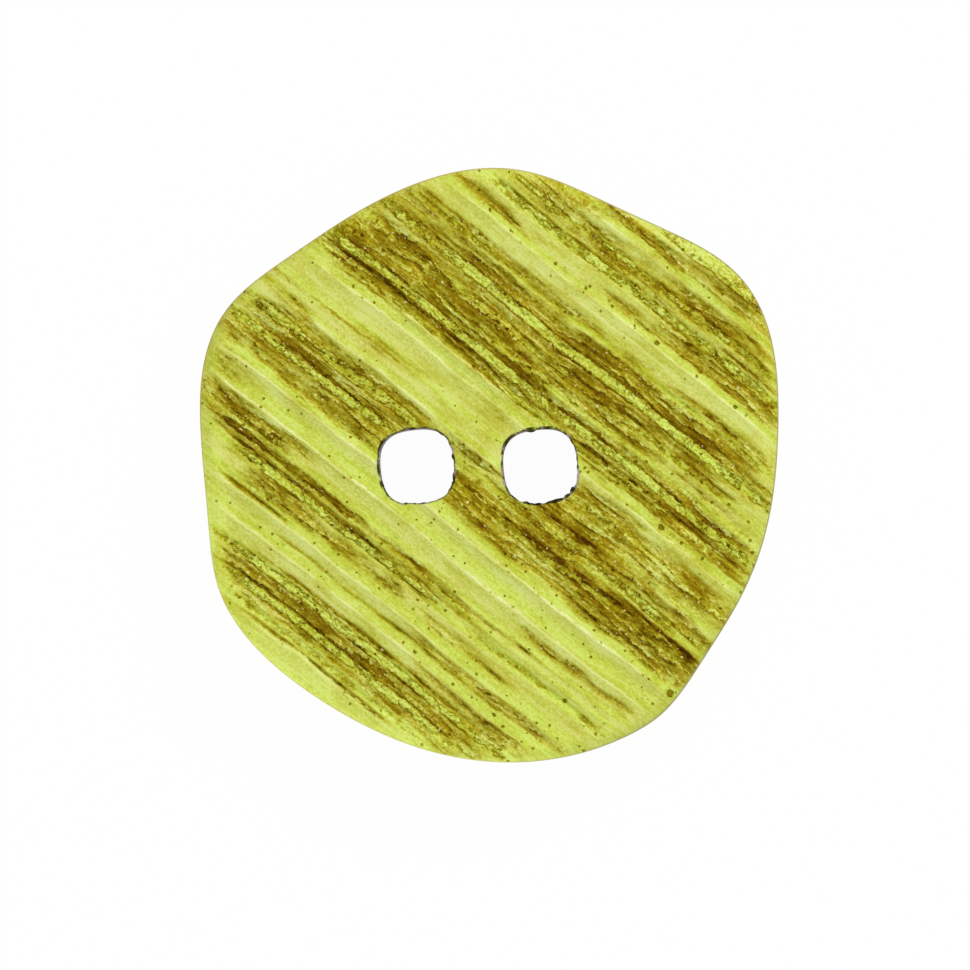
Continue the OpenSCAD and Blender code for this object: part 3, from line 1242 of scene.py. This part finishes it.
def stained_resin():
    """Lime resin with brown stain rubbed into its combed grain."""
    material = bpy.data.materials.new("stained_resin")
    material.use_nodes = True
    graph = Graph(material.node_tree)
    shader = material.node_tree.nodes["Principled BSDF"]
    on = surface(graph)
    colour = hole_colour(graph, on, edge_colour(graph, on, face_colour(graph, on)))
    roughness = graph.total((on.stained, 0.10), (graph.times(on.fine, on.face), 0.2))
    bump = graph.node("ShaderNodeBump", {"Strength": 1.0, "Distance": MM, "Height": fine_relief(graph, on)})
    graph.feed(shader.inputs["Base Color"], colour)
    graph.feed(shader.inputs["Roughness"], graph.add(roughness, 0.40))
    graph.feed(shader.inputs["Normal"], bump.outputs[0])
    shader.inputs["Specular IOR Level"].default_value = 0.03
    return material


# The stage


def white_to_camera(graph, shader, share):
    """A shader that lights as itself, and that the camera, gloss and glass see as mostly plain white."""
    path = graph.node("ShaderNodeLightPath").outputs
    seen = graph.larger(path["Is Camera Ray"], path["Is Glossy Ray"])
    seen = graph.larger(seen, path["Is Transmission Ray"])
    white = graph.node("ShaderNodeEmission", {"Color": (1, 1, 1, 1), "Strength": 1.0}).outputs[0]
    return graph.node("ShaderNodeMixShader", {0: graph.times(seen, share), 1: shader, 2: white}).outputs[0]


def white_paper():
    """Paper that is white from above. From below it is clear and lets the light through."""
    material = bpy.data.materials.new("white_paper")
    material.use_nodes = True
    graph = Graph(material.node_tree)
    shader = material.node_tree.nodes["Principled BSDF"]
    shader.inputs["Base Color"].default_value = (0.95, 0.95, 0.95, 1)
    shader.inputs["Roughness"].default_value = 0.9
    above = white_to_camera(graph, shader.outputs[0], PAPER_WHITE)
    backfacing = graph.node("ShaderNodeNewGeometry").outputs["Backfacing"]
    clear = graph.node("ShaderNodeBsdfTransparent").outputs[0]
    paper = graph.node("ShaderNodeMixShader", {0: backfacing, 1: above, 2: clear}).outputs[0]
    graph.feed(material.node_tree.nodes["Material Output"].inputs["Surface"], paper)
    return material


def paper_floor():
    """White paper under the button, which shows a faint shadow of it and casts no light or shade itself."""
    signs = [(-1, -1), (1, -1), (1, 1), (-1, 1)]
    corners = [Vector((x * PAPER_HALF_WIDTH, y * PAPER_HALF_WIDTH, -PAPER_DROP)) * MM for x, y in signs]
    mesh = bpy.data.meshes.new("paper_floor")
    mesh.from_pydata(corners, [], [(0, 1, 2, 3)])
    mesh.materials.append(white_paper())
    floor = bpy.data.objects.new("paper_floor", mesh)
    floor.visible_diffuse = False
    floor.visible_shadow = False
    bpy.context.scene.collection.objects.link(floor)


def soft_lamp(name, direction, lift, size, energy):
    """A round area lamp that looks at the button from a direction in plan and a lift above the floor."""
    lamp = bpy.data.lights.new(name, "AREA")
    lamp.shape = "DISK"
    lamp.size = size
    lamp.energy = energy
    holder = bpy.data.objects.new(name, lamp)
    plan = Vector((*direction, 0)).normalized()
    towards = plan * math.cos(lift) + Vector((0, 0, math.sin(lift)))
    holder.location = towards * LAMP_DISTANCE * MM
    holder.rotation_mode = "QUATERNION"
    holder.rotation_quaternion = towards.to_track_quat("Z", "Y")
    bpy.context.scene.collection.objects.link(holder)


def light_tent():
    """A soft lamp across the grain from the upper right, a low fill against it, and an even white room."""
    for name, settings in LAMPS.items():
        soft_lamp(name, *settings)
    world = bpy.data.worlds.new("white_room")
    world.use_nodes = True
    graph = Graph(world.node_tree)
    background = world.node_tree.nodes["Background"]
    seen = graph.node("ShaderNodeLightPath").outputs["Is Camera Ray"]
    graph.feed(background.inputs["Strength"], graph.scaled(seen, 1 - ROOM_LIGHT, ROOM_LIGHT))
    background.inputs["Color"].default_value = (1, 1, 1, 1)
    bpy.context.scene.world = world


def camera_above():
    """A long lens looking down on the face, leaning a little to the lower right, for a square picture."""
    aim = Vector((AIM_X, AIM_Y, THICKNESS)) * MM
    aside = math.sin(CAMERA_LEAN) * math.sqrt(0.5)
    back = Vector((aside, -aside, math.cos(CAMERA_LEAN)))
    right = Vector((0, 1, 0)).cross(back).normalized()
    up = back.cross(right)
    camera = bpy.data.cameras.new("camera_above")
    camera.lens = camera.sensor_width * CAMERA_DISTANCE / PICTURE_WIDTH
    holder = bpy.data.objects.new("camera_above", camera)
    turn = Matrix((right, up, back)).transposed().to_4x4()
    holder.matrix_world = Matrix.Translation(aim + back * CAMERA_DISTANCE * MM) @ turn
    bpy.context.scene.collection.objects.link(holder)
    bpy.context.scene.camera = holder


camera_above()
light_tent()
paper_floor()
button = combed_button(stained_resin())
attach(button, "root")
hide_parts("button")
bpy.context.scene.view_settings.view_transform = "Standard"
